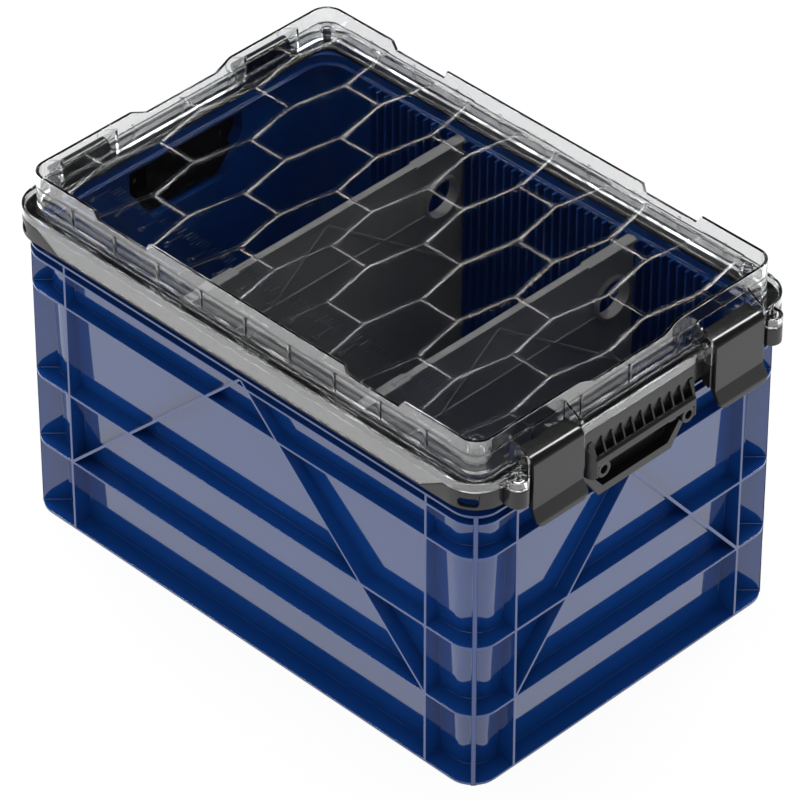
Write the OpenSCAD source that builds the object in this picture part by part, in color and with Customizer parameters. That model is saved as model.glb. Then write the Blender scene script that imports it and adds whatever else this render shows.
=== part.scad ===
/* [Crate] */
// Length of the crate over its outer ribs
crate_l = 465; // [450:1:480]
// Width of the crate over its outer ribs
crate_w = 315; // [308:1:330]
// Height of the flat rim above the surface that the crate stands on
crate_h = 268.5; // [262:0.5:290]
// Outer corner radius of the ribs, seen from above
corner_r = 22; // [18:1:26]
// How far the ribs stand out from the wall at the base
rib_depth = 16; // [14:0.5:18]
// How far the walls lean out on their way from the base to the rim
wall_lean = 8.4; // [6:0.1:9]
// Thickness of the ribs
rib_t = 2.2; // [1.6:0.1:3]
// Thickness of the rib that runs down each corner
corner_rib_t = 3.4; // [2:0.1:5]
// Thickness of the walls
wall_t = 2.5; // [2:0.1:3]
// Outer corner radius of the wall at the base, seen from above
wall_r = 17; // [14:0.5:20]
// Thickness of the floor
floor_t = 3; // [2:0.5:5]
// Height of the lowest full rib above the base
lower_rib_z = 64.6; // [50:0.1:75]
// Height of the middle full rib above the base
middle_rib_z = 127.2; // [110:0.1:140]
// Height of the upper full rib above the base
upper_rib_z = 208.1; // [190:0.1:214]
// Drop from the flat rim to the first thin rib below the collar
neck_rib_drop = 22.5; // [20:0.5:26]
// Spacing of the two thin ribs below the collar
neck_rib_gap = 8; // [5:0.5:10]
// Distance from the crate's ends to the upright ribs on its long sides
long_rib_in = 48.6; // [40:0.1:60]
// Distance from the crate's sides to the upright ribs on its short ends
short_rib_in = 41.2; // [38:0.1:45]
// Thickness of the flat rim
rim_t = 2.5; // [2:0.1:4]
// Pitch of the divider grooves along the long walls
groove_pitch = 8.25; // [7.5:0.05:9]
// Grooves on each side of the middle one
groove_half_count = 20; // [14:1:21]
// Width of the guide ribs between the grooves
guide_w = 2.2; // [1.4:0.1:3]
// How far the guide ribs stand out of the foot of the wall
guide_h = 0.7; // [0.5:0.1:2]
// How far the ledge round the inside stands out of the wall
ledge_w = 3.4; // [2:0.1:4]
// Thickness of the ledge round the inside
ledge_t = 2.5; // [1.5:0.1:3.5]

/* [Collar] */
// How far the collar stands out past the crate's ribs
collar_over = 5.4; // [5:0.1:7]
// Height of the collar
collar_h = 14.6; // [13:0.1:17]
// Thickness of the collar's skirt
collar_t = 4.2; // [3.6:0.1:4.6]
// Thickness of the collar's top plate
collar_plate_t = 2.5; // [2.3:0.1:3.5]
// How far the collar's top plate reaches in past the lid's wall
collar_in = 1.8; // [1.2:0.1:3]
// Width of the seal
seal_w = 3.6; // [2.8:0.1:4.4]
// Thickness of the seal
seal_t = 1.5; // [1:0.1:1.8]
// Length of the cord slots in the collar's corners
cord_slot_l = 15.5; // [8:0.5:18]
// Height of the cord slots in the collar's corners
cord_slot_h = 7.2; // [4:0.1:8]
// Angle of the cord slots, measured round the corner from the side
cord_slot_turn = 33; // [28:1:45]

/* [Latch keepers] */
// How far the keepers' plates hang below the collar
apron_h = 9.4; // [5:0.1:12]
// Thickness of the keepers' plates, which lie in the collar's face
apron_t = 2.2; // [1.6:0.1:2.6]
// How far the bar that a latch catches on stands out of the collar
keeper_out = 3; // [2:0.1:3.4]
// Height of the bar
keeper_h = 8; // [6:0.5:10]
// Width of the bar
keeper_w = 40; // [30:1:42]
// Distance from a keeper's middle to each of its screws
keeper_screw_x = 12; // [6:0.5:16]
// Thickness of the guards beside the latches
guard_t = 2.4; // [1.6:0.1:3]
// How far the guards stand out of the collar
guard_out = 7.1; // [5:0.1:7.4]
// How far the guards reach below the collar
guard_drop = 8; // [4:0.1:9]

/* [Lashing eyes] */
// Radius of the hole in an eye
eye_r = 5; // [3:0.1:5.3]
// Radius of an eye's rounded end
eye_outer_r = 8.2; // [7.4:0.1:8.2]
// Distance from the collar's face out to the hole's centre
eye_out = 5.6; // [5.4:0.1:7]

/* [Lid] */
// How far the lid's wall stands in from the crate's ribs
lid_inset = 6.2; // [5:0.1:7]
// Outer corner radius of the lid's wall
lid_r = 15; // [12:0.5:18]
// Thickness of the lid's wall
lid_wall_t = 2.5; // [2:0.1:2.8]
// Height of the low stretches of the lid's rim above its lower edge
lid_rim_h = 28.7; // [27:0.1:34]
// Height of the raised stretches of the rim above the low ones
rim_rise = 7; // [4:0.5:9]
// Half the length of the low stretch of the rim on the short ends
end_dip = 35; // [20:1:45]
// Length of the slopes at the low stretches on the short ends
end_slope = 15; // [5:1:20]
// Distance from the middle to the low stretches on the long sides
side_dip_y = 101; // [80:1:120]
// Length of the low stretches on the long sides
side_dip_l = 50; // [30:1:60]
// Drop from the low rim to the lid's window
window_drop = 5; // [3:0.5:7]
// Thickness of the lid's window
window_t = 2; // [1.6:0.1:3]
// Height of the lid's flange
flange_h = 7.6; // [6:0.1:8]
// Thickness of the flange's top
flange_t = 2.4; // [1.8:0.1:3]
// Thickness of the flange's outer lip
lip_t = 2.3; // [1.6:0.1:3]
// Spacing of the hexagon columns across the lid
hex_dx = 48.5; // [44:0.1:49]
// Spacing of the hexagons along the lid, from one column to the next
hex_dy = 44.6; // [42:0.1:46]
// Length of the hexagons' straight sides
hex_side = 35.8; // [30:0.1:38]
// Width of the hexagon ribs
hex_rib_w = 2.6; // [1.6:0.1:4]
// Height of the hexagon ribs
hex_rib_h = 1; // [0.6:0.1:2]
// Length of the clear skirts that cover the collar's long sides, at their top
skirt_l = 410; // [380:1:416]
// How much shorter a skirt is at each end of its lower edge
skirt_slope = 21; // [8:1:30]
// Drop from the collar's top to the skirts' lower edge
skirt_drop = 12.7; // [9:0.1:13]
// Thickness of the clear skirts
skirt_t = 1.5; // [1.2:0.1:1.6]
// Thickness of the clear ears
ear_t = 2; // [1.6:0.1:2.6]
// Distance from the lid's outer wall in to the corner bosses
boss_in = 14.3; // [13:0.1:18]
// Radius of the corner bosses
boss_r = 6; // [5:0.1:7]
// Height of the corner bosses above the window
boss_h = 4; // [2:0.5:6]
// Radius of the hollow in a corner boss
boss_hollow_r = 4; // [3:0.1:4.4]
// Radius of the round pads under the lid's corners
pad_r = 3.2; // [2:0.1:4]
// Height of the round pads under the lid's corners
pad_h = 8.5; // [4:0.5:10]

/* [Latches and hinges] */
// Distance from the crate's sides to the middle of each latch and hinge
latch_in = 65.5; // [65.5:0.1:68]
// Width of a latch
latch_w = 50; // [46:0.5:50]
// Thickness of a latch's front plate
latch_t = 2.8; // [2:0.1:3.5]
// Thickness of a latch's side cheeks
cheek_t = 2.4; // [1.6:0.1:2.8]
// Distance from the lid's wall out to the latch pins and hinge pins
pivot_out = 11.7; // [11.4:0.1:12.5]
// Height of the pins above the lid's lower edge
pivot_rise = 11.2; // [11:0.1:12]
// Radius of the latch pins and hinge pins
pin_r = 2; // [1.5:0.1:2.5]
// Distance from the pin out to the latch's front face
latch_reach = 9.5; // [9.5:0.1:12]
// Height of the latch's top above the pin
latch_rise = 5.8; // [5.6:0.1:6.2]
// Height of the sloping bands between a latch's front face and its top
latch_band = 5; // [3:0.1:5.4]
// Distance from the pin down to the bend above the latch's lip
latch_bend = 37.5; // [36:0.5:44]
// Height of the lip below the bend
lip_h = 14; // [12:0.5:20]
// How far the lip stands out past the front face
lip_out = 5.4; // [3:0.1:8]
// Radius of the lip's lower corners
lip_r = 6.5; // [2:0.5:7]
// Height of the hook inside a latch
hook_h = 5; // [4:0.1:6]
// Radius of the barrel round a pin
barrel_r = 5; // [4.4:0.1:5.4]
// Thickness of a hinge bracket's plate
bracket_t = 3; // [2:0.1:4]
// Distance from a hinge's middle to each of its screws
hinge_screw_x = 15; // [8:0.5:18]
// Number of slots between the ribs of a hinge bracket
bracket_slots = 4; // [2:1:6]
// Thickness of the ribs of a hinge bracket
bracket_rib_t = 2.2; // [1.6:0.1:4]

/* [Handles] */
// Distance from the ends of a handle's grip to the guards beside the latches
grip_clear = 10.1; // [5:0.1:12]
// Number of slots in a grip's louvre
slot_count = 10; // [6:1:12]
// Thickness of the louvre's fins
fin_t = 1.6; // [1:0.1:2.5]
// How far the fins reach up in front of the collar's face
fin_rise = 4.8; // [3:0.1:6]
// How much the grip draws in at each end on its way out to the rail's face
cheek_draft = 3; // [1:0.1:4]
// How far the grip's rail stands out past the crate's ribs
rail_out = 12.3; // [11:0.1:14]
// Drop from the collar to the rail's top edge
rail_drop = 8.8; // [7:0.1:10]
// Height of the rail
rail_h = 8.1; // [6:0.1:9]
// Height of the sloping band between the rail's face and the fins
rail_band = 2.4; // [1:0.1:3]
// Depth of the recesses for the handle screws
screw_seat = 5; // [3:0.1:6]
// Distance from the ends of a grip in to its screws
screw_in = 10.5; // [9:0.5:12]
// Drop from the collar to the handle screws
screw_drop = 19.4; // [18:0.1:20]
// Radius of the round bosses for the handle screws
screw_boss_r = 6.5; // [5.5:0.1:6.8]
// Width of the frame's plate round the bosses
boss_side = 2; // [1.5:0.1:3]
// Radius of the shanks of the handle screws and hinge screws
shank_r = 1.6; // [1.2:0.1:2]
// How far the frame's top reaches out past each end of the grip
frame_wing = 6; // [5:0.5:7]
// How much the frame draws in at each side on the way down to its bottom
frame_slant = 22.5; // [18:0.5:24]
// Height of the frame
frame_h = 51.9; // [50:0.1:54]
// Height of the upright stretch of the frame's sides
frame_side_h = 20; // [18:0.5:24]
// Width of the frame below the hand hole
frame_border = 7; // [5:0.1:8]
// Width of the frame beside the hand hole
frame_side_w = 15; // [14:0.5:17]
// Thickness of the frame's plate and of the cup's sides
frame_t = 2.6; // [2:0.1:3]
// Depth of the hand cup, from the frame's face to the cup's back
cup_depth = 8; // [4:0.5:9]
// Thickness of the hand cup's back
cup_t = 1.6; // [1.2:0.1:2.6]
// Thickness of the walls of the crate's well round the hand cup
well_t = 2; // [1.4:0.1:2.2]
// How far the frame stands out past the crate's ribs
frame_out = 2; // [1:0.1:3]

/* [Dividers] */
// Groove that holds the rear divider, counted from the middle
rear_groove = 9; // [6:1:12]
// Groove that holds the front divider, counted from the middle
front_groove = -12; // [-13:1:-7]
// Thickness of a divider's panel
divider_t = 3; // [2:0.1:4]
// Drop from the crate's flat rim to the top of a divider
divider_drop = 4.5; // [3:0.5:8]
// Thickness of the flange along a divider's top
divider_flange_t = 2.5; // [1.6:0.1:3.5]
// Width of the flange along a divider's top
divider_flange_w = 6; // [5:0.1:7.4]
// Width of the flange at a divider's ends
divider_end_w = 9.4; // [8:0.1:11]
// Length of the wider ends of the flange
divider_end_l = 51; // [30:1:55]
// How far a divider's ends reach out past the crate's inner width at the floor
divider_reach = 2.3; // [1:0.1:3]
// Radius of the finger rings in a divider
ring_r = 18; // [15:0.5:19]
// Distance from a divider's ends to the middle of the finger rings
ring_in = 24.3; // [21:0.1:30]
// Drop from a divider's top to the middle of the finger rings
ring_drop = 42; // [35:1:60]
// Depth of the finger rings
ring_depth = 10; // [6:0.5:14]
// Thickness of the finger rings' rim
ring_t = 2.5; // [1.6:0.1:4]
// Drop from a divider's top to the peak of its slanting ribs
peak_drop = 8; // [6:0.5:14]
// Drop from a divider's top to the feet of its slanting ribs
fall_drop = 110; // [90:1:150]
// Distance from a divider's ends to the feet of its slanting ribs
fall_in = 8; // [6:0.5:12]
// Drop from the middle of the finger rings to the level rib between them
brace_drop = 10; // [6:0.5:13]
// Width of a divider's ribs
divider_rib_w = 3; // [2:0.1:4]
// How far a divider's ribs stand out of each face
divider_rib_h = 1; // [0.6:0.1:1.6]

/* [Hidden] */

$fn = 96;
// Overlap that joins shapes within one solid
join = 0.2;
// Clearance between pieces that move against each other
gap = 0.3;
// Clearance between pieces that are fitted together and stay put
fit = 0.2;
// Clearance between the sides of a latch or hinge and the ears beside it
side_gap = 1;
// Radial clearance of a part that turns on a pin
running = 0.05;
// Radial clearance of a pin or screw that is held in its hole
held = 0.02;
// Reach of cuts past the surfaces that they open
past = 30;

half_l = crate_l / 2;
half_w = crate_w / 2;
wall_x = half_w - rib_depth;
wall_y = half_l - rib_depth;
inner_x = wall_x - wall_t;
inner_y = wall_y - wall_t;
guide_x = inner_x - guide_h;
neck_z = crate_h - neck_rib_drop;
collar_x = half_w + collar_over;
collar_y = half_l + collar_over;
collar_r = corner_r + collar_over;
collar_top = crate_h + collar_plate_t;
collar_low = collar_top - collar_h;
lid_x = half_w - lid_inset;
lid_y = half_l - lid_inset;
lid_low = collar_top + gap;
lid_rim = lid_low + lid_rim_h;
rim_top = lid_rim + rim_rise;
window_top = lid_rim - window_drop;
window_low = window_top - window_t;
flange_top = lid_low + flange_h;
seal_over = (seal_w - lid_wall_t) / 2;
pivot_y = lid_y + pivot_out;
pivot_z = lid_low + pivot_rise;
ear_in = latch_w / 2 + side_gap;
ear_out = ear_in + ear_t;
latch_x = half_w - latch_in;
eye_x = latch_x + ear_out + gap + eye_outer_r;
grip_w = 2 * (latch_x - ear_in - guard_t - grip_clear);
screw_x = grip_w / 2 - screw_in;
frame_top_x = grip_w / 2 + frame_wing;
frame_low_x = frame_top_x - frame_slant;
ear_hang = collar_top - collar_plate_t;
pad_x = lid_x - boss_in;
pad_y = lid_y - boss_in;
frame_face = half_l + frame_out;
cup_y = frame_face - cup_depth;
well_face = frame_face - frame_t - fit;
frame_low = collar_low - frame_h;
hole_low = frame_low + frame_border;
hole_top = collar_low - frame_border;
rail_face = half_l + rail_out;
rail_top = collar_low - rail_drop;
rail_low = rail_top - rail_h;
screw_z = collar_low - screw_drop;
head_r = 2 * shank_r;
head_t = 1.9;
hinge_screw_z = collar_low + collar_h * 0.42;
bracket_face = collar_y + fit + bracket_t;
latch_face = pivot_y + latch_reach;
latch_top = pivot_z + latch_rise;
bend_z = pivot_z - latch_bend;
long_ribs_y = half_l - long_rib_in;
short_ribs_x = half_w - short_rib_in;
divider_x = inner_x + divider_reach;
divider_top = crate_h - divider_drop;
divider_low = floor_t + gap;
guide_top = divider_top - divider_flange_t - gap;

blue = "#0b3a7a";
black = "#1d1d1f";
grey = "#4a4a4c";
steel = "#8f9296";
clear = [0.85, 0.88, 0.9, 0.45];

// A rectangle with round corners, from its half sizes
module plan(x, y, r) {
    square([2 * (x - r), 2 * y], center = true);
    square([2 * x, 2 * (y - r)], center = true);
    for (sx = [-1, 1], sy = [-1, 1])
        translate([sx * (x - r), sy * (y - r)]) circle(r);
}

// An upright ring with the outline of plan and walls t thick
module ring(x, y, r, t, low, top) {
    translate([0, 0, low]) linear_extrude(top - low) difference() {
        plan(x, y, r);
        plan(x - t, y - t, r - t);
    }
}

// An outline in Y and Z, stretched along X from x0 to x1
module profile_x(x0, x1, points) {
    translate([x0, 0, 0]) rotate([90, 0, 90]) linear_extrude(x1 - x0) polygon(points);
}

// An outline in X and Z, stretched along Y from y0 to y1
module profile_y(y0, y1, points) {
    translate([0, y1, 0]) rotate([90, 0, 0]) linear_extrude(y1 - y0) polygon(points);
}

// A round bar along X
module bar_x(x0, x1, y, z, r) {
    translate([x0, y, z]) rotate([0, 90, 0]) cylinder(h = x1 - x0, r = r);
}

// A round bar along Y
module bar_y(y0, y1, x, z, r) {
    translate([x, y0, z]) rotate([-90, 0, 0]) cylinder(h = y1 - y0, r = r);
}

// A block from its lowest corner to its highest corner
module block(low, high) {
    translate(low) cube(high - low);
}

// Turns what is drawn at the front so that it also fits the rear end
module at_rear() {
    rotate([0, 0, 180]) children();
}

// Outline of the handle's frame in X and Z, grown by g
function frame_outline(g) = let(side_z = collar_low - frame_side_h) [
    [-frame_top_x - g, collar_low],
    [-frame_top_x - g, side_z - g / 2],
    [-frame_low_x - g / 2, frame_low - g],
    [frame_low_x + g / 2, frame_low - g],
    [frame_top_x + g, side_z - g / 2],
    [frame_top_x + g, collar_low]];

// Outline of the hand cup in X and Z, grown by g: it is narrow above the screws' bosses
function hole_outline(g) = let(
    side_x = frame_top_x - frame_side_w + g,
    low_x = frame_low_x - frame_side_w / 4 + g / 2,
    side_z = hole_low + 2 * frame_border - g / 2,
    shoulder_z = screw_z - screw_boss_r - boss_side + g,
    shoulder_x = screw_x - screw_boss_r - boss_side + g) [
    [-shoulder_x, hole_top + g],
    [-shoulder_x, shoulder_z],
    [-side_x, shoulder_z],
    [-side_x, side_z],
    [-low_x, hole_low - g],
    [low_x, hole_low - g],
    [side_x, side_z],
    [side_x, shoulder_z],
    [shoulder_x, shoulder_z],
    [shoulder_x, hole_top + g]];

// How far the walls have leaned out at the given height
function lean(z) = wall_lean * z / crate_h;

// The box of the walls, which lean out towards the rim, drawn in by the inset
module lean_box(inset, low, high) {
    x = wall_x - wall_r;
    y = wall_y - wall_r;
    low_r = wall_r - inset + lean(low);
    high_r = wall_r - inset + lean(high);
    profile_x(-x, x, [[-y - low_r, low], [y + low_r, low], [y + high_r, high], [-y - high_r, high]]);
    profile_y(-y, y, [[-x - low_r, low], [x + low_r, low], [x + high_r, high], [-x - high_r, high]]);
    for (sx = [-1, 1], sy = [-1, 1])
        translate([sx * x, sy * y, low]) cylinder(h = high - low, r1 = low_r, r2 = high_r);
}

// The upright guide ribs for the dividers, which fill out the lean of the long walls
module crate_guides() {
    foot = floor_t - join;
    for (s = [-1, 1], k = [-groove_half_count - 1:groove_half_count]) {
        y0 = (k + 0.5) * groove_pitch - guide_w / 2;
        profile_y(y0, y0 + guide_w, [
            [s * guide_x, foot],
            [s * (inner_x + lean(foot) + join), foot],
            [s * (inner_x + lean(guide_top) + join), guide_top],
            [s * guide_x, guide_top]]);
    }
}

// The ledge round the inside, level with the tops of the guide ribs
module crate_ledge() {
    out = lean(guide_top - ledge_t) + join;
    translate([0, 0, guide_top - ledge_t]) linear_extrude(ledge_t) difference() {
        plan(inner_x + out, inner_y + out, wall_r - wall_t + out);
        in = ledge_w - out;
        plan(inner_x - in, inner_y - in, wall_r - wall_t - in);
    }
}

// The flat plates that become the ribs round the crate and its flat rim
module crate_rings() {
    heights = [0, lower_rib_z, middle_rib_z, upper_rib_z, neck_z - neck_rib_gap, neck_z];
    for (z = heights)
        translate([0, 0, max(0, z - rib_t / 2)]) linear_extrude(rib_t) plan(half_w, half_l, corner_r);
    translate([0, 0, crate_h - rim_t]) linear_extrude(rim_t) plan(half_w, half_l, corner_r);
}

// The upright ribs, and the ribs down the corners
module crate_uprights() {
    reach = rib_depth + join;
    for (sx = [-1, 1], sy = [-1, 1]) {
        x = sx < 0 ? -half_w : half_w - reach;
        y = sy < 0 ? -half_l : half_l - reach;
        block([x, sy * long_ribs_y - rib_t / 2, 0], [x + reach, sy * long_ribs_y + rib_t / 2, neck_z]);
        block([sx * short_ribs_x - rib_t / 2, y, 0], [sx * short_ribs_x + rib_t / 2, y + reach, neck_z]);
        corner_in = norm([half_w - corner_r, half_l - corner_r] - [wall_x - wall_r, wall_y - wall_r]);
        translate([sx * (half_w - corner_r), sy * (half_l - corner_r), 0])
            rotate([0, 0, sx > 0 ? sy * 45 : sy * 135])
                translate([wall_r - corner_in - join, -corner_rib_t / 2, 0])
                    cube([corner_r - wall_r + corner_in + join, corner_rib_t, neck_z]);
    }
}

// One slanting rib, as an outline across and up
function slant(foot, apex_z) = let(t = rib_t * 0.7) [
    [foot - t, lower_rib_z],
    [foot + t, lower_rib_z],
    [t, apex_z],
    [-t, apex_z]];

// The slanting ribs on the four sides
module crate_slants() {
    for (s = [-1, 1]) {
        long_side = slant(s * long_ribs_y, neck_z - rib_t);
        short_side = slant(s * short_ribs_x, frame_low);
        profile_x(-half_w, -wall_x + join, long_side);
        profile_x(wall_x - join, half_w, long_side);
        profile_y(-half_l, -wall_y + join, short_side);
        profile_y(wall_y - join, half_l, short_side);
    }
}

// The crate, with a well for the hand cup at each end
module crate_body() {
    color(blue) {
        crate_guides();
        crate_ledge();
        crate_case();
    }
}

// The crate's walls, floor and ribs, and the wells
module crate_case() {
    difference() {
        union() {
            lean_box(0, 0, crate_h);
            crate_rings();
            crate_uprights();
            crate_slants();
            profile_y(-well_face, -inner_y, frame_outline(0));
            profile_y(inner_y, well_face, frame_outline(0));
        }
        lean_box(wall_t, floor_t, crate_h + past);
        profile_y(-half_l - past, -well_face, frame_outline(fit));
        profile_y(well_face, half_l + past, frame_outline(fit));
        profile_y(-half_l - past, -inner_y + past, frame_outline(-well_t));
        profile_y(inner_y - past, half_l + past, frame_outline(-well_t));
    }
}

// Outline of a clear skirt in Y and Z, grown by g, up to the given height
function skirt_outline(g, top) = let(
    top_y = skirt_l / 2 + g,
    low_y = skirt_l / 2 - skirt_slope + g) [
    [-top_y, top],
    [-top_y, collar_top - g],
    [-low_y, collar_top - skirt_drop - g],
    [low_y, collar_top - skirt_drop - g],
    [top_y, collar_top - g],
    [top_y, top]];

// Plan of a lashing eye that stands out of the front face, with its hole
module eye_plan(side) {
    y = -collar_y - eye_out;
    difference() {
        union() {
            translate([side * eye_x, y]) circle(eye_outer_r);
            translate([side * eye_x - eye_outer_r, y])
                square([2 * eye_outer_r, eye_out + lip_t / 2]);
        }
        translate([side * eye_x, y]) circle(eye_r);
        translate([side * eye_x - past, -collar_y + lip_t / 2]) square([2 * past, past]);
    }
}

// The cut for a cord slot beside one of the collar's corners
module cord_slot(sx, sy) {
    half = (cord_slot_l - cord_slot_h) / 2;
    turn = sx > 0 ? sy * cord_slot_turn : sy * (180 - cord_slot_turn);
    translate([sx * (collar_x - collar_r), sy * (collar_y - collar_r), (collar_low + crate_h) / 2])
        rotate([0, 0, turn]) translate([collar_r - 2 * collar_t, 0, 0]) {
            translate([0, -half, -cord_slot_h / 2]) cube([past, 2 * half, cord_slot_h]);
            for (s = [-1, 1])
                translate([0, s * half, 0]) rotate([0, 90, 0]) cylinder(h = past, r = cord_slot_h / 2);
        }
}

// Cuts for the two screws that hold a keeper, and their bores
module keeper_bores(side) {
    for (s = [-1, 1])
        bar_y(-collar_y - keeper_out / 2, -collar_y + past,
            side * latch_x + s * keeper_screw_x, collar_low + keeper_h / 2, shank_r + held);
}

// The stretch of the collar's face that a keeper, its guard and its eye take up in X, grown by g
function keeper_span(side, g) = let(
    inner = side * (latch_x - ear_in - guard_t - g),
    outer = side * (eye_x + eye_outer_r + g)) [
    min(inner, outer),
    max(inner, outer)];

// The keeper that a latch catches on: a plate with a bar across it
module latch_keeper(side) {
    x = side * latch_x;
    color(black) difference() {
        union() {
            block([x - ear_in, -collar_y, collar_low - apron_h], [x + ear_in, -collar_y + apron_t, collar_top]);
            profile_x(x - keeper_w / 2, x + keeper_w / 2, [
                [-collar_y + join, collar_low],
                [-collar_y - keeper_out / 2, collar_low],
                [-collar_y - keeper_out, collar_low + keeper_h / 4],
                [-collar_y - keeper_out, collar_low + keeper_h * 0.6],
                [-collar_y + join, collar_low + keeper_h]]);
        }
        keeper_bores(side);
    }
}

// Side outline of a guard beside a latch, in Y and Z
function guard_outline() = let(
    face = -collar_y - guard_out,
    low = collar_low - guard_drop) [
    [-collar_y + apron_t, collar_top],
    [-collar_y + apron_t, collar_low - guard_drop / 3],
    [face + 1.5, low],
    [face, low + 1.5],
    [face, ear_hang - gap],
    [-collar_y, ear_hang - gap],
    [-collar_y, collar_top]];

// The guard on a latch's inner side
module latch_guard(side) {
    near = side * (latch_x - ear_in);
    far = near - side * guard_t;
    color(black) profile_x(min(near, far), max(near, far), guard_outline());
}

// The lashing eye on a latch's outer side, with the guard next to the latch
module lashing_eye(side) {
    near = side * (latch_x + ear_in);
    far = near + side * guard_t;
    end = side * (eye_x + eye_outer_r);
    color(black) union() {
        block([min(near, end), -collar_y, collar_low], [max(near, end), -collar_y + apron_t, collar_top]);
        profile_x(min(near, far), max(near, far), guard_outline());
        translate([0, 0, collar_low]) linear_extrude(collar_h) eye_plan(side);
    }
}

// The two screws that hold a keeper from inside the collar
module keeper_screws(side) {
    seat = -collar_y + collar_t;
    z = collar_low + keeper_h / 2;
    color(steel) for (s = [-1, 1]) {
        x = side * latch_x + s * keeper_screw_x;
        difference() {
            union() {
                bar_y(seat, seat + head_t, x, z, head_r);
                bar_y(-collar_y - keeper_out / 2 + gap, seat + join, x, z, shank_r);
            }
            cross_recess(x, seat + head_t, z);
        }
    }
}

// The black collar round the crate's rim
module collar() {
    color(black) difference() {
        union() {
            ring(collar_x, collar_y, collar_r, collar_t, collar_low, collar_top);
            translate([0, 0, crate_h]) linear_extrude(collar_plate_t) difference() {
                plan(collar_x, collar_y, collar_r);
                in = lid_wall_t + collar_in;
                plan(lid_x - in, lid_y - in, lid_r - in);
            }
        }
        recess = collar_x - skirt_t - gap;
        profile_x(-collar_x - past, -recess, skirt_outline(gap, collar_top + past));
        profile_x(recess, collar_x + past, skirt_outline(gap, collar_top + past));
        o = seal_over + held;
        ring(lid_x + o, lid_y + o, lid_r + o, seal_w + 2 * held, collar_top - seal_t, collar_top + past);
        for (sx = [-1, 1], sy = [-1, 1]) cord_slot(sx, sy);
        for (side = [-1, 1]) {
            span = keeper_span(side, fit);
            block([span[0], -collar_y - past, collar_low - past], [span[1], -collar_y + apron_t, collar_top + past]);
            keeper_bores(side);
        }
        for (side = [-1, 1], s = [-1, 1])
            bar_y(collar_y - 2 * collar_t, collar_y + past,
                side * latch_x + s * hinge_screw_x, hinge_screw_z, shank_r + held);
    }
}

// The seal in the collar's groove, under the lid's wall
module lid_seal() {
    color("#111111")
        ring(lid_x + seal_over, lid_y + seal_over, lid_r + seal_over, seal_w,
            collar_top - seal_t, collar_top);
}

// The frame of the front handle, with the closed cup for the fingers behind it
module handle_frame() {
    color(black) difference() {
        union() {
            profile_y(-frame_face, -frame_face + frame_t, frame_outline(0));
            profile_y(-frame_face, -cup_y + cup_t, hole_outline(frame_t));
        }
        profile_y(-frame_face - past, -cup_y, hole_outline(0));
        for (s = [-1, 1])
            bar_y(-frame_face - past, -frame_face + 2 * frame_t, s * screw_x, screw_z, shank_r + held);
    }
}

// Side outline of a handle's grip in Y and Z, down to the given height
function grip_outline(low) = let(top = collar_low - fit, back = -collar_y - fit, lead = frame_t) [
    [-frame_face, low],
    [-frame_face, top],
    [back, top],
    [back, collar_low + fin_rise],
    [back - fin_t / 3, collar_low + fin_rise],
    [-rail_face + 0.8 * rail_band, rail_top + rail_band],
    [-rail_face, rail_top],
    [-rail_face, low + lead],
    [-rail_face + lead, low]];

// The louvred grip of the front handle
module handle_grip() {
    half = grip_w / 2;
    cheek = 2 * fin_t + cheek_draft / 2;
    boss_low = screw_z - screw_boss_r;
    pitch = (grip_w - 2 * cheek + fin_t) / slot_count;
    color(black) difference() {
        union() {
            profile_x(-half, half, grip_outline(rail_low));
            for (s = [-1, 1]) {
                x = s < 0 ? -half : half - cheek;
                profile_x(x, x + cheek, grip_outline(boss_low));
                bar_y(-rail_face + join, -frame_face, s * screw_x, screw_z, screw_boss_r);
                far = s * (half - join);
                block([min(s * screw_x, far), -rail_face + join, screw_z - screw_boss_r / 2],
                    [max(s * screw_x, far), -frame_face, rail_low + join]);
            }
        }
        floor_z = rail_low + fin_t;
        rail_back = -rail_face + 1.3 * frame_t;
        slot_top = collar_low + fin_rise + past;
        for (k = [0:slot_count - 1]) {
            x = -half + cheek + k * pitch;
            profile_x(x, x + pitch - fin_t, [
                [-collar_y, slot_top],
                [-rail_face - past, slot_top],
                [-rail_face - past, rail_top + rail_band],
                [rail_back, rail_top + rail_band],
                [rail_back, floor_z],
                [-collar_y, floor_z]]);
        }
        for (s = [-1, 1]) {
            bar_y(-rail_face - past, -rail_face + screw_seat, s * screw_x, screw_z, head_r + fit);
            bar_y(-rail_face - past, -frame_face + past, s * screw_x, screw_z, shank_r + held);
            translate([0, 0, boss_low - past]) linear_extrude(2 * past + collar_low - boss_low) polygon([
                [s * half, -collar_y],
                [s * (half - cheek_draft), -rail_face],
                [s * (half - cheek_draft), -rail_face - past],
                [s * (half + past), -rail_face - past],
                [s * (half + past), -collar_y]]);
        }
    }
}

// The cut of a cross recess in a screw's head that faces along Y
module cross_recess(x, y, z) {
    for (turn = [45, 135])
        translate([x, y, z]) rotate([0, turn, 0]) cube([1.1 * head_r, 1.6, 0.3 * head_r], center = true);
}

// The two screws of the front handle
module handle_screws() {
    seat = -rail_face + screw_seat;
    color(steel) for (s = [-1, 1]) difference() {
        union() {
            bar_y(seat - head_t, seat, s * screw_x, screw_z, head_r);
            bar_y(seat - join, -frame_face + frame_t, s * screw_x, screw_z, shank_r);
        }
        cross_recess(s * screw_x, seat - head_t, screw_z);
    }
}

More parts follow.
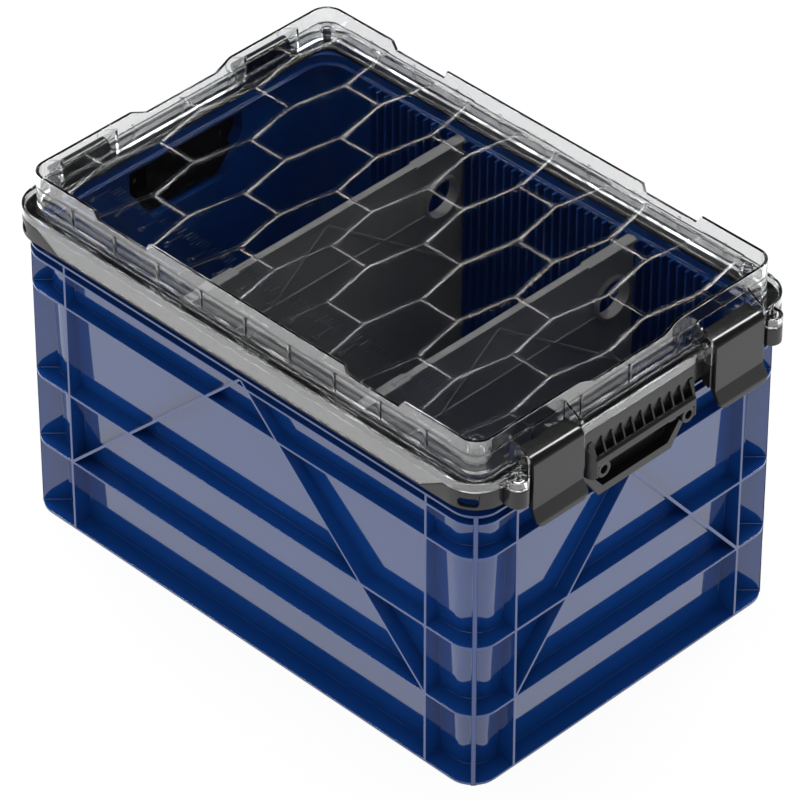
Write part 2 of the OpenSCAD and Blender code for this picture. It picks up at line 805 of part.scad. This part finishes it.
// The bracket that carries a hinge pin behind the collar
module hinge_bracket(side) {
    x0 = side * latch_x - latch_w / 2 - side_gap / 2;
    x1 = side * latch_x + latch_w / 2 + side_gap / 2;
    shelf_y = pivot_y - 1.5 * barrel_r;
    color(black) difference() {
        union() {
            profile_x(x0, x1, [
                [collar_y + fit, collar_low + fit],
                [bracket_face, collar_low + fit],
                [bracket_face, collar_top + bracket_t],
                [pivot_y + 0.8 * barrel_r, pivot_z],
                [pivot_y - 0.8 * barrel_r, pivot_z],
                [shelf_y, collar_top + bracket_t],
                [shelf_y, collar_top],
                [collar_y + fit, collar_top]]);
            bar_x(x0, x1, pivot_y, pivot_z, barrel_r);
        }
        bar_x(x0 - past, x1 + past, pivot_y, pivot_z, pin_r + held);
        for (s = [-1, 1])
            bar_y(collar_y - past, bracket_face + past,
                side * latch_x + s * hinge_screw_x, hinge_screw_z, shank_r + held);
        pitch = (x1 - x0 - bracket_rib_t) / bracket_slots;
        for (k = [0:bracket_slots - 1])
            block([x0 + k * pitch + bracket_rib_t, shelf_y - past, collar_top + bracket_t],
                [x0 + (k + 1) * pitch, pivot_y - pin_r - 1.2, pivot_z + past]);
    }
}

// The two screws of a hinge bracket
module hinge_screws(side) {
    color(steel) for (s = [-1, 1]) {
        x = side * latch_x + s * hinge_screw_x;
        difference() {
            union() {
                bar_y(bracket_face, bracket_face + head_t, x, hinge_screw_z, head_r);
                bar_y(collar_y - collar_t, bracket_face + join, x, hinge_screw_z, shank_r);
            }
            cross_recess(x, bracket_face + head_t, hinge_screw_z);
        }
    }
}

// A pin through the two ears at a latch or a hinge
module ear_pin(side, y) {
    color(steel)
        bar_x(side * latch_x - ear_out, side * latch_x + ear_out, y, pivot_z, pin_r);
}

// One opening of the hexagon pattern, drawn in by half a rib
module hex_cell(cx, cy) {
    inset = hex_rib_w / 2;
    tip = hex_dy - hex_side / 2;
    slope = (tip - hex_side / 2) / hex_dx;
    drop = inset * sqrt(1 + slope * slope);
    x = hex_dx - inset;
    y = hex_side / 2 + slope * inset - drop;
    translate([cx, cy])
        polygon([[-x, -y], [-x, y], [0, tip - drop], [x, y], [x, -y], [0, drop - tip]]);
}

// The lid's window with its raised hexagon ribs
module lid_window() {
    in = lid_wall_t - join;
    columns = floor(lid_x / hex_dx);
    rows = ceil(lid_y / hex_dy);
    translate([0, 0, window_low]) linear_extrude(window_t) plan(lid_x - in, lid_y - in, lid_r - in);
    translate([0, 0, window_top - join]) linear_extrude(hex_rib_h + join) difference() {
        plan(lid_x - in, lid_y - in, lid_r - in);
        for (i = [-columns:columns], j = [-rows:rows])
            if ((i + j) % 2 == 0) hex_cell(i * hex_dx, j * hex_dy);
    }
    for (sx = [-1, 1], sy = [-1, 1])
        translate([sx * pad_x, sy * pad_y, window_top - join]) difference() {
            cylinder(h = boss_h + join, r = boss_r);
            translate([0, 0, join]) cylinder(h = past, r = boss_hollow_r);
        }
}

// The lid's wall, with the low stretches of its rim
module lid_wall() {
    high = lid_rim + past;
    steep = past / rim_rise;
    difference() {
        ring(lid_x, lid_y, lid_r, lid_wall_t, lid_low, rim_top);
        profile_y(-lid_y - past, lid_y + past, [
            [-end_dip, lid_rim],
            [-end_dip - end_slope * steep, high],
            [end_dip + end_slope * steep, high],
            [end_dip, lid_rim]]);
        for (s = [-1, 1]) {
            near = s * side_dip_y;
            far = s * (side_dip_y + side_dip_l);
            lean = s * rim_rise / 3 * steep;
            profile_x(-lid_x - past, lid_x + past, [
                [near, lid_rim],
                [near - lean, high],
                [far + 2 * lean, high],
                [far, lid_rim]]);
        }
    }
}

// Low upright ribs on the outside of the lid's wall, in line with the hexagons
module lid_wall_ribs() {
    out = lid_wall_t / 2;
    top = lid_rim - window_drop;
    rib = hex_rib_w * 0.75;
    for (s = [-1, 1]) {
        for (k = [-4:4]) {
            x = s < 0 ? -lid_x - out : lid_x - join;
            y = k * hex_dy;
            block([x, y - rib / 2, flange_top - join], [x + out + join, y + rib / 2, top]);
        }
        for (k = [-2:2]) {
            y = s < 0 ? -lid_y - out : lid_y - join;
            x = k * hex_dx;
            block([x - rib / 2, y, flange_top - join], [x + rib / 2, y + out + join, top]);
        }
    }
}

// The lid's flange, hollow below, with the lashing eyes and the clear skirts
module lid_flange() {
    difference() {
        union() {
            ring(collar_x, collar_y, collar_r, lip_t, lid_low, flange_top);
            translate([0, 0, flange_top - flange_t]) linear_extrude(flange_t) difference() {
                plan(collar_x, collar_y, collar_r);
                plan(lid_x - join, lid_y - join, lid_r - join);
            }
            for (side = [-1, 1])
                translate([0, 0, lid_low]) linear_extrude(flange_h) eye_plan(side);
        }
        for (side = [-1, 1], s = [-1, 1]) {
            y = s < 0 ? -collar_y - past : lid_y;
            block([side * latch_x - ear_in, y, lid_low - past],
                [side * latch_x + ear_in, y + collar_y - lid_y + past, flange_top + past]);
        }
    }
    profile_x(-collar_x, -collar_x + skirt_t, skirt_outline(0, lid_low + join));
    profile_x(collar_x - skirt_t, collar_x, skirt_outline(0, lid_low + join));
}

// The pair of clear ears that hold a latch pin
module latch_ears(side) {
    front = pivot_y + 1.4 * barrel_r;
    hang_y = collar_y + 2 * gap;
    for (s = [-1, 1]) {
        x = side * latch_x + (s < 0 ? -ear_out : ear_in);
        profile_x(x, x + ear_t, [
            [-lid_y + join, lid_low],
            [-hang_y, lid_low],
            [-hang_y, ear_hang],
            [-front, ear_hang],
            [-front, pivot_z + barrel_r / 2],
            [-front + 1, pivot_z + 1.5 * barrel_r],
            [-lid_y + join, lid_rim]]);
    }
}

// The pair of clear ears that turn on a hinge pin
module hinge_ears(side) {
    round_r = 1.8 * barrel_r;
    for (s = [-1, 1]) {
        x = side * latch_x + (s < 0 ? -ear_out : ear_in);
        bar_x(x, x + ear_t, pivot_y, pivot_z, round_r);
        profile_x(x, x + ear_t, [
            [lid_y - join, lid_low],
            [pivot_y - round_r / 2, lid_low],
            [pivot_y, pivot_z],
            [pivot_y + round_r * sin(30), pivot_z + round_r * cos(30)],
            [lid_y - join, lid_rim]]);
    }
}

// The clear lid
module lid() {
    color(clear) difference() {
        union() {
            lid_wall();
            lid_wall_ribs();
            lid_window();
            lid_flange();
            for (side = [-1, 1]) {
                latch_ears(side);
                hinge_ears(side);
            }
        }
        for (side = [-1, 1]) {
            x = side * latch_x;
            bar_x(x - ear_out - 1, x + ear_out + 1, -pivot_y, pivot_z, pin_r + held);
            bar_x(x - ear_out - 1, x + ear_out + 1, pivot_y, pivot_z, pin_r + running);
        }
    }
}

// The four pads under the lid's corners
module lid_corner_pads() {
    color("#111111") for (sx = [-1, 1], sy = [-1, 1])
        translate([sx * pad_x, sy * pad_y, window_low - pad_h]) cylinder(h = pad_h, r = pad_r);
}

// A latch with its front plate, lip, top, cheeks, barrel and hook
module latch(side) {
    x0 = side * latch_x - latch_w / 2;
    x1 = side * latch_x + latch_w / 2;
    inside = -latch_face + latch_t;
    back = -pivot_y + latch_reach * 0.85;
    lip_y = latch_face + lip_out;
    lip_z = bend_z - lip_h * 0.7;
    cheek_y = -collar_y - keeper_out - gap;
    hook_y = -collar_y - keeper_out - 2 * gap;
    hook_z = collar_low - 1;
    color(black) difference() {
        union() {
            profile_x(x0, x1, [
                [-latch_face, bend_z],
                [-latch_face, latch_top - latch_band],
                [-latch_face + 0.2 * latch_band, latch_top - 0.7 * latch_band],
                [-latch_face + 0.6 * latch_band, latch_top - 0.25 * latch_band],
                [-latch_face + 1.2 * latch_band, latch_top],
                [back, latch_top],
                [back, latch_top - latch_t],
                [inside + 0.6 * latch_band, latch_top - latch_t],
                [inside, latch_top - 0.8 * latch_band - latch_t],
                [inside, bend_z],
                [-lip_y + latch_t, lip_z],
                [-lip_y + latch_t, bend_z - lip_h],
                [-lip_y, bend_z - lip_h],
                [-lip_y, lip_z]]);
            bar_x(x0, x1, -pivot_y, pivot_z, barrel_r - 1);
            for (x = [x0, x1 - cheek_t]) profile_x(x, x + cheek_t, [
                [inside - 1, bend_z],
                [inside - 1, latch_top - latch_band],
                [inside + 0.4 * latch_band, latch_top - 1],
                [back, latch_top - 1],
                [back, pivot_z],
                [-pivot_y + barrel_r - 1, pivot_z - barrel_r],
                [cheek_y, pivot_z - 2 * barrel_r],
                [cheek_y, bend_z + lip_h / 2],
                [cheek_y - 2, bend_z],
                [-lip_y + 2, bend_z - lip_h + 1],
                [-lip_y + 1, lip_z]]);
            profile_x(x0 + join, x1 - join, [
                [inside - join, hook_z],
                [hook_y, hook_z],
                [hook_y, hook_z - 0.4 * hook_h],
                [inside - join, hook_z - hook_h]]);
        }
        bar_x(x0 - 1, x1 + 1, -pivot_y, pivot_z, pin_r + running);
        for (s = [-1, 1]) difference() {
            corner_x = side * latch_x + s * (latch_w / 2 - lip_r);
            block([min(corner_x, corner_x + s * past), -lip_y - past, bend_z - lip_h - past],
                [max(corner_x, corner_x + s * past), inside, bend_z - lip_h + lip_r]);
            bar_y(-lip_y - past, inside, corner_x, bend_z - lip_h + lip_r, lip_r);
        }
    }
}

// A rib on a divider, from one point to another in X and Z, on both faces
module divider_rib(from, to) {
    thick = divider_t + 2 * divider_rib_h;
    run = to - from;
    translate([from[0], 0, from[1]]) rotate([0, -atan2(run[1], run[0]), 0])
        translate([0, -thick / 2, -divider_rib_w / 2]) cube([norm(run), thick, divider_rib_w]);
}

// A divider that stands in the groove with the given number
module divider(groove) {
    peak = [0, divider_top - peak_drop];
    fall = [divider_x - fall_in, divider_top - fall_drop];
    ring_x = divider_x - ring_in;
    ring_z = divider_top - ring_drop;
    hole_r = ring_r - ring_t;
    foot_x = inner_x + lean(divider_low) - 2 * gap;
    taper_z = (divider_reach + 2 * gap) * crate_h / wall_lean;
    color(grey) translate([0, groove * groove_pitch, 0]) difference() {
        union() {
            profile_y(-divider_t / 2, divider_t / 2, [
                [-foot_x, divider_low],
                [foot_x, divider_low],
                [divider_x, taper_z],
                [divider_x, divider_top],
                [-divider_x, divider_top],
                [-divider_x, taper_z]]);
            for (s = [-1, 1]) {
                divider_rib(peak, [s * fall[0], fall[1]]);
                far = s * (divider_x - 1);
                near = s * (divider_x - divider_end_l);
                block([min(near, far), -divider_end_w / 2, divider_top - divider_flange_t],
                    [max(near, far), divider_end_w / 2, divider_top]);
                bar_y(-ring_depth / 2, ring_depth / 2, s * ring_x, ring_z, ring_r);
            }
            divider_rib([-ring_x, ring_z - brace_drop], [ring_x, ring_z - brace_drop]);
            block([-divider_x + 1, -divider_flange_w / 2, divider_top - divider_flange_t],
                [divider_x - 1, divider_flange_w / 2, divider_top]);
        }
        for (s = [-1, 1])
            bar_y(-ring_depth, ring_depth, s * ring_x, ring_z, hole_r);
    }
}

crate_body();
collar();
lid_seal();
handle_frame();  // front_handle_frame
at_rear() handle_frame();  // rear_handle_frame
handle_grip();  // front_handle_grip
at_rear() handle_grip();  // rear_handle_grip
handle_screws();  // front_handle_screws
at_rear() handle_screws();  // rear_handle_screws
latch_keeper(-1);  // left_latch_keeper
latch_keeper(1);  // right_latch_keeper
keeper_screws(-1);  // left_keeper_screws
keeper_screws(1);  // right_keeper_screws
latch_guard(-1);  // left_latch_guard
latch_guard(1);  // right_latch_guard
lashing_eye(-1);  // left_lashing_eye
lashing_eye(1);  // right_lashing_eye
hinge_bracket(-1);  // left_hinge_bracket
hinge_bracket(1);  // right_hinge_bracket
hinge_screws(-1);  // left_hinge_screws
hinge_screws(1);  // right_hinge_screws
ear_pin(-1, pivot_y);  // left_hinge_pin
ear_pin(1, pivot_y);  // right_hinge_pin
lid();
lid_corner_pads();
latch(-1);  // left_latch
latch(1);  // right_latch
ear_pin(-1, -pivot_y);  // left_latch_pin
ear_pin(1, -pivot_y);  // right_latch_pin
divider(front_groove);  // front_divider
divider(rear_groove);  // rear_divider
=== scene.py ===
"""The looks of the storage crate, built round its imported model. Units are metres, +Z is up."""
import math

import bmesh
import bpy
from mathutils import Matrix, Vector


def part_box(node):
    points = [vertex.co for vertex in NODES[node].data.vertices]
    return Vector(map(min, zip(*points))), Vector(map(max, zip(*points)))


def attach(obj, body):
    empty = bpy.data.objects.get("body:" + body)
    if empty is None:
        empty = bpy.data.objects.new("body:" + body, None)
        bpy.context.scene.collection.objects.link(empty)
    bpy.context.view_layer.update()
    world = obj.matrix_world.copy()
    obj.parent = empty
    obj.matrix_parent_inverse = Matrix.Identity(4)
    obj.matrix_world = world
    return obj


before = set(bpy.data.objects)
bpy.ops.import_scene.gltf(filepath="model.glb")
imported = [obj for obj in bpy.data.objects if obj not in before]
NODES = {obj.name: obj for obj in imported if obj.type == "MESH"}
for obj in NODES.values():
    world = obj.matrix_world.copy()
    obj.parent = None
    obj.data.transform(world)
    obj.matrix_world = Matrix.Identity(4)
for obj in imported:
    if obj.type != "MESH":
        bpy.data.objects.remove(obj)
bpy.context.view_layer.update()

MM = 0.001

# The camera stands where the photograph was taken from
CAMERA_AT = Vector((-2.3063, -2.3055, 2.7131))
CAMERA_TARGET = Vector((-0.00076, -0.0027, 0.1395))
CAMERA_LENS = 255.97
SENSOR = 36.0

# The part of a noise texture's range that its values mostly lie in
NOISE_LOW = 0.35
NOISE_HIGH = 0.65

# How much of the lamps' light each face of the clear lid lets through to the inside
LID_LIGHT = 0.4


def srgb(red, green, blue):
    """A colour from 0 to 255 on each channel, as the linear values that shaders take."""
    def channel(value):
        value /= 255
        return value / 12.92 if value <= 0.04045 else ((value + 0.055) / 1.055) ** 2.4
    return (channel(red), channel(green), channel(blue), 1.0)


# Materials

def new_material(name):
    """An empty node material with its principled shader, ready for detail."""
    material = bpy.data.materials.new(name)
    material.use_nodes = True
    nodes = material.node_tree.nodes
    nodes.clear()
    shader = nodes.new("ShaderNodeBsdfPrincipled")
    output = nodes.new("ShaderNodeOutputMaterial")
    material.node_tree.links.new(shader.outputs["BSDF"], output.inputs["Surface"])
    return material, shader


def noise(material, scale, detail=3.0, stretch=(1, 1, 1)):
    """A noise texture on the object's own coordinates, with scale in waves per metre."""
    nodes, links = material.node_tree.nodes, material.node_tree.links
    place = nodes.new("ShaderNodeTexCoord")
    mapping = nodes.new("ShaderNodeMapping")
    mapping.inputs["Scale"].default_value = stretch
    texture = nodes.new("ShaderNodeTexNoise")
    texture.inputs["Scale"].default_value = scale
    texture.inputs["Detail"].default_value = detail
    links.new(place.outputs["Object"], mapping.inputs["Vector"])
    links.new(mapping.outputs["Vector"], texture.inputs["Vector"])
    return texture


def add_bump(material, shader, texture, distance, strength=1.0):
    """Raises the surface by a texture, with distance in metres."""
    nodes, links = material.node_tree.nodes, material.node_tree.links
    bump = nodes.new("ShaderNodeBump")
    bump.inputs["Distance"].default_value = distance
    bump.inputs["Strength"].default_value = strength
    links.new(texture.outputs["Fac"], bump.inputs["Height"])
    links.new(bump.outputs["Normal"], shader.inputs["Normal"])


def vary(material, socket, texture, low, high):
    """Lets a texture move a shader's number between two values."""
    nodes, links = material.node_tree.nodes, material.node_tree.links
    ramp = nodes.new("ShaderNodeMapRange")
    ramp.inputs["From Min"].default_value = NOISE_LOW
    ramp.inputs["From Max"].default_value = NOISE_HIGH
    ramp.inputs["To Min"].default_value = low
    ramp.inputs["To Max"].default_value = high
    links.new(texture.outputs["Fac"], ramp.inputs["Value"])
    links.new(ramp.outputs["Result"], socket)


def vary_colour(material, shader, texture, dark, light):
    """Lets a texture move the base colour between two near ones."""
    nodes, links = material.node_tree.nodes, material.node_tree.links
    ramp = nodes.new("ShaderNodeValToRGB")
    ramp.color_ramp.elements[0].position = NOISE_LOW
    ramp.color_ramp.elements[1].position = NOISE_HIGH
    ramp.color_ramp.elements[0].color = dark
    ramp.color_ramp.elements[1].color = light
    links.new(texture.outputs["Fac"], ramp.inputs["Fac"])
    links.new(ramp.outputs["Color"], shader.inputs["Base Color"])


def crate_plastic():
    """Glossy royal blue moulding, with a faint flow in its colour and gloss."""
    material, shader = new_material("crate_blue")
    vary_colour(material, shader, noise(material, 9.0), srgb(15, 55, 118), srgb(18, 58, 124))
    vary(material, shader.inputs["Roughness"], noise(material, 60.0), 0.05, 0.09)
    add_bump(material, shader, noise(material, 160.0, 2.0), 0.000006, 0.3)
    shader.inputs["IOR"].default_value = 1.5
    shader.inputs["Coat Weight"].default_value = 1.0
    shader.inputs["Coat Roughness"].default_value = 0.04
    shader.inputs["Coat IOR"].default_value = 1.5
    return material


def black_plastic():
    """Satin black moulding with a fine spark-eroded grain."""
    material, shader = new_material("satin_black")
    vary_colour(material, shader, noise(material, 25.0), srgb(20, 20, 20), srgb(23, 23, 23))
    vary(material, shader.inputs["Roughness"], noise(material, 400.0), 0.2, 0.24)
    add_bump(material, shader, noise(material, 2600.0, 3.0), 0.000006, 0.4)
    shader.inputs["IOR"].default_value = 1.55
    return material


def divider_plastic():
    """Dark grey satin moulding."""
    material, shader = new_material("divider_grey")
    vary_colour(material, shader, noise(material, 18.0), srgb(118, 118, 118), srgb(126, 126, 126))
    vary(material, shader.inputs["Roughness"], noise(material, 300.0), 0.36, 0.46)
    add_bump(material, shader, noise(material, 1800.0, 3.0), 0.000008, 0.4)
    return material


def clear_plastic():
    """Clear glossy moulding with a trace of flow in its polish. It lets some of the lamps' light in."""
    material, shader = new_material("clear_lid")
    nodes, links = material.node_tree.nodes, material.node_tree.links
    shader.inputs["Base Color"].default_value = (0.97, 0.98, 0.985, 1)
    shader.inputs["Transmission Weight"].default_value = 1.0
    shader.inputs["IOR"].default_value = 1.47
    shader.inputs["Coat Weight"].default_value = 1.0
    shader.inputs["Coat IOR"].default_value = 1.8
    shader.inputs["Coat Roughness"].default_value = 0.0
    vary(material, shader.inputs["Roughness"], noise(material, 45.0), 0.0, 0.008)
    rays = nodes.new("ShaderNodeLightPath")
    through = nodes.new("ShaderNodeBsdfTransparent")
    through.inputs["Color"].default_value = (LID_LIGHT, LID_LIGHT, LID_LIGHT, 1)
    mix = nodes.new("ShaderNodeMixShader")
    links.new(rays.outputs["Is Shadow Ray"], mix.inputs["Fac"])
    links.new(shader.outputs["BSDF"], mix.inputs[1])
    links.new(through.outputs["BSDF"], mix.inputs[2])
    links.new(mix.outputs["Shader"], nodes["Material Output"].inputs["Surface"])
    return material


def rubber():
    """Matte black rubber."""
    material, shader = new_material("seal_rubber")
    vary_colour(material, shader, noise(material, 200.0), srgb(18, 18, 18), srgb(26, 26, 26))
    vary(material, shader.inputs["Roughness"], noise(material, 900.0), 0.6, 0.75)
    add_bump(material, shader, noise(material, 2200.0, 3.0), 0.00003)
    return material


def steel(name, shade, rough, stretch):
    """Plated steel with fine marks along its length."""
    material, shader = new_material(name)
    vary_colour(material, shader, noise(material, 700.0, 4.0, stretch),
                srgb(shade - 14, shade - 14, shade - 12), srgb(shade, shade, shade + 2))
    vary(material, shader.inputs["Roughness"], noise(material, 1500.0, 4.0, stretch), rough, rough + 0.12)
    shader.inputs["Metallic"].default_value = 1.0
    return material


BLUE = crate_plastic()
BLACK = black_plastic()
GREY = divider_plastic()
CLEAR = clear_plastic()
RUBBER = rubber()
PIN_STEEL = steel("pin_steel", 185, 0.2, (0.05, 1, 1))
SCREW_STEEL = steel("screw_steel", 60, 0.3, (1, 1, 1))

NODE_MATERIALS = {
    "crate_body": BLUE,
    "lid": CLEAR,
    "lid_seal": RUBBER,
    "lid_corner_pads": RUBBER,
    "front_divider": GREY,
    "rear_divider": GREY,
}
NODE_ENDINGS = {"_pin": PIN_STEEL, "_screws": SCREW_STEEL}


def node_material(name):
    """The material of a CAD node, by its own name or by how it ends."""
    if name in NODE_MATERIALS:
        return NODE_MATERIALS[name]
    for ending, material in NODE_ENDINGS.items():
        if name.endswith(ending):
            return material
    return BLACK


# The CAD nodes get soft moulded edges and their materials

def soften(node, width, segments=2):
    """Joins a node's faces and rounds its edges, as modifiers on the node."""
    weld = node.modifiers.new("weld", "WELD")
    weld.merge_threshold = 0.00001
    edge = node.modifiers.new("edge", "BEVEL")
    edge.width = width
    edge.segments = segments
    edge.limit_method = "ANGLE"
    edge.angle_limit = math.radians(28)
    edge.use_clamp_overlap = False
    edge.harden_normals = False
    edge.miter_outer = "MITER_ARC"
    shade = node.modifiers.new("shade", "WEIGHTED_NORMAL")
    shade.keep_sharp = False
    shade.weight = 100


EDGE_WIDTH = 0.4 * MM
EDGE_WIDTHS = {"crate_body": 0.35 * MM, "lid": 0.3 * MM}
# Small hidden pieces keep their packed edges
SHARP_ENDINGS = ("_pin", "_screws", "_seal", "_pads")

for name, node in NODES.items():
    node.data.materials.clear()
    node.data.materials.append(node_material(name))
    if not name.endswith(SHARP_ENDINGS):
        soften(node, EDGE_WIDTHS.get(name, EDGE_WIDTH))


# The ruler on the lid's window: fine raised lines, and plain numbers one inch apart

INCH = 25.4 * MM
INCH_PARTS = 8
RULER_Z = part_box("lid")[1].z - 12.0 * MM
RULER_NUMBERS = range(6, 21)
# Where the ruler's last inch lies along the lid
LAST_INCH_Y = 178.2 * MM
# The lines' reach across the lid: from and to, for whole inches, halves and the other parts
INCH_LINE = (-128.5 * MM, -115.0 * MM)
HALF_LINE = (-119.5 * MM, -108.0 * MM)
PART_LINE = (-117.0 * MM, -108.0 * MM)
LINE_HALF_WIDTH = 0.25 * MM
LINE_SINK = 0.1 * MM
LINE_RISE = 0.2 * MM
DIGIT_X = -131.0 * MM
DIGIT_SIZE = 6.6 * MM
DIGIT_EXTRUDE = 0.15 * MM
DIGIT_RISE = 0.05 * MM


def inch_y(number):
    """Where the ruler's inch with that number lies along the lid."""
    return LAST_INCH_Y - INCH * (RULER_NUMBERS[-1] - number)


def add_bar(shape, low, high):
    """A block in a mesh, from its lowest corner to its highest corner."""
    made = bmesh.ops.create_cube(shape, size=1.0)
    for vert in made["verts"]:
        vert.co = Vector(b if c > 0 else a for a, b, c in zip(low, high, vert.co))


def make_ruler():
    """The ruler's lines as one mesh, and its numbers as text, all on the lid."""
    mesh = bpy.data.meshes.new("ruler_lines")
    shape = bmesh.new()
    for number in RULER_NUMBERS:
        for part in range(INCH_PARTS):
            y = inch_y(number) + part * INCH / INCH_PARTS
            if number == RULER_NUMBERS[-1] and part:
                break
            start, end = INCH_LINE if part == 0 else HALF_LINE if part == INCH_PARTS // 2 else PART_LINE
            add_bar(shape, (start, y - LINE_HALF_WIDTH, RULER_Z - LINE_SINK),
                    (end, y + LINE_HALF_WIDTH, RULER_Z + LINE_RISE))
    shape.to_mesh(mesh)
    shape.free()
    lines = bpy.data.objects.new("ruler_lines", mesh)
    mesh.materials.append(CLEAR)
    bpy.context.scene.collection.objects.link(lines)
    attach(lines, "lid")
    for number in RULER_NUMBERS:
        data = bpy.data.curves.new(f"ruler_number_{number}", "FONT")
        data.body = str(number)
        data.size = DIGIT_SIZE
        data.extrude = DIGIT_EXTRUDE
        data.align_x = "CENTER"
        data.align_y = "CENTER"
        data.materials.append(CLEAR)
        digits = bpy.data.objects.new(f"ruler_number_{number}", data)
        digits.location = (DIGIT_X, inch_y(number), RULER_Z + DIGIT_RISE)
        digits.rotation_euler = (0, 0, math.pi)
        bpy.context.scene.collection.objects.link(digits)
        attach(digits, "lid")


make_ruler()


# Stage, light and camera

# Strength of the sky as a lamp, and of the sky overhead as it shows in gloss and through the lid
SKY_SOFT = 0.62
SKY_DIM = 0.003
# The heights, as the Z of a direction, between which the sky in gloss fades from white to dim
SKY_WHITE_Z = 0.02
SKY_DIM_Z = 0.4
# How much of the floor is its own white for the camera, in reflections and through the lid
FLOOR_WHITE = 0.94
FLOOR_RADIUS = 14.0
# The floor lies a little under the crate, so that the two don't flicker
FLOOR_Z = -0.2 * MM


def floor_material():
    """Pale floor: its own white for the camera and in reflections, a plain pale floor for the light."""
    material, shader = new_material("pale_floor")
    nodes, links = material.node_tree.nodes, material.node_tree.links
    shader.inputs["Base Color"].default_value = (0.86, 0.86, 0.86, 1)
    shader.inputs["Roughness"].default_value = 0.9
    shader.inputs["Specular IOR Level"].default_value = 0.0
    white = nodes.new("ShaderNodeEmission")
    rays = nodes.new("ShaderNodeLightPath")
    most = nodes.new("ShaderNodeMath")
    most.operation = "MAXIMUM"
    more = nodes.new("ShaderNodeMath")
    more.operation = "MAXIMUM"
    share = nodes.new("ShaderNodeMath")
    share.operation = "MULTIPLY"
    share.inputs[1].default_value = FLOOR_WHITE
    mix = nodes.new("ShaderNodeMixShader")
    links.new(rays.outputs["Is Camera Ray"], most.inputs[0])
    links.new(rays.outputs["Is Glossy Ray"], most.inputs[1])
    links.new(most.outputs[0], more.inputs[0])
    links.new(rays.outputs["Is Transmission Ray"], more.inputs[1])
    links.new(more.outputs[0], share.inputs[0])
    links.new(share.outputs[0], mix.inputs["Fac"])
    links.new(shader.outputs["BSDF"], mix.inputs[1])
    links.new(white.outputs["Emission"], mix.inputs[2])
    links.new(mix.outputs["Shader"], nodes["Material Output"].inputs["Surface"])
    return material


def make_floor():
    """A wide round floor under the crate."""
    mesh = bpy.data.meshes.new("floor")
    shape = bmesh.new()
    bmesh.ops.create_circle(shape, cap_ends=True, radius=FLOOR_RADIUS, segments=64)
    shape.to_mesh(mesh)
    shape.free()
    floor = bpy.data.objects.new("floor", mesh)
    floor.location.z = FLOOR_Z
    floor.data.materials.append(floor_material())
    bpy.context.scene.collection.objects.link(floor)


def make_world():
    """White for the camera; in gloss and through the lid white near the horizon and dim overhead."""
    world = bpy.data.worlds.new("studio")
    bpy.context.scene.world = world
    world.use_nodes = True
    nodes, links = world.node_tree.nodes, world.node_tree.links
    nodes.clear()
    output = nodes.new("ShaderNodeOutputWorld")
    soft = nodes.new("ShaderNodeBackground")
    soft.inputs["Color"].default_value = (0.97, 0.985, 1.0, 1)
    soft.inputs["Strength"].default_value = SKY_SOFT
    white = nodes.new("ShaderNodeBackground")
    dome = nodes.new("ShaderNodeBackground")
    place = nodes.new("ShaderNodeTexCoord")
    split = nodes.new("ShaderNodeSeparateXYZ")
    fade = nodes.new("ShaderNodeMapRange")
    fade.inputs["From Min"].default_value = SKY_WHITE_Z
    fade.inputs["From Max"].default_value = SKY_DIM_Z
    fade.inputs["To Min"].default_value = 1.0
    fade.inputs["To Max"].default_value = SKY_DIM
    links.new(place.outputs["Generated"], split.inputs["Vector"])
    links.new(split.outputs["Z"], fade.inputs["Value"])
    links.new(fade.outputs["Result"], dome.inputs["Strength"])
    rays = nodes.new("ShaderNodeLightPath")
    mirrored = nodes.new("ShaderNodeMath")
    mirrored.operation = "MAXIMUM"
    links.new(rays.outputs["Is Glossy Ray"], mirrored.inputs[0])
    links.new(rays.outputs["Is Transmission Ray"], mirrored.inputs[1])
    glossy = nodes.new("ShaderNodeMixShader")
    links.new(mirrored.outputs[0], glossy.inputs["Fac"])
    links.new(soft.outputs["Background"], glossy.inputs[1])
    links.new(dome.outputs["Background"], glossy.inputs[2])
    both = nodes.new("ShaderNodeMixShader")
    links.new(rays.outputs["Is Camera Ray"], both.inputs["Fac"])
    links.new(glossy.outputs["Shader"], both.inputs[1])
    links.new(white.outputs["Background"], both.inputs[2])
    links.new(both.outputs["Shader"], output.inputs["Surface"])


CRATE_MIDDLE = Vector((0, 0, 0.15))
LIGHT_DISTANCE = 2.6


def area_light(name, azimuth, elevation, size, power):
    """A square light that faces the crate, from its angles in degrees round the crate's middle."""
    turn, rise = math.radians(azimuth), math.radians(elevation)
    toward = Vector((math.cos(turn) * math.cos(rise), math.sin(turn) * math.cos(rise), math.sin(rise)))
    place = CRATE_MIDDLE + LIGHT_DISTANCE * toward
    data = bpy.data.lights.new(name, "AREA")
    data.shape = "SQUARE"
    data.size = size
    data.energy = power
    light = bpy.data.objects.new(name, data)
    light.location = place
    light.rotation_mode = "QUATERNION"
    light.rotation_quaternion = (-toward).to_track_quat("-Z", "Y")
    bpy.context.scene.collection.objects.link(light)


def make_camera():
    """The photograph's camera."""
    data = bpy.data.cameras.new("camera")
    data.lens = CAMERA_LENS
    data.sensor_width = SENSOR
    data.clip_end = 40
    camera = bpy.data.objects.new("camera", data)
    camera.location = CAMERA_AT
    camera.rotation_mode = "QUATERNION"
    camera.rotation_quaternion = (CAMERA_TARGET - CAMERA_AT).to_track_quat("-Z", "Y")
    bpy.context.scene.collection.objects.link(camera)
    bpy.context.scene.camera = camera


make_floor()
make_world()
area_light("top_light", 215, 75, 2.0, 26)
area_light("right_strip", 0, 54, 0.8, 40)
area_light("left_strip", 90, 54, 0.8, 40)
make_camera()
bpy.context.scene.view_settings.view_transform = "Standard"
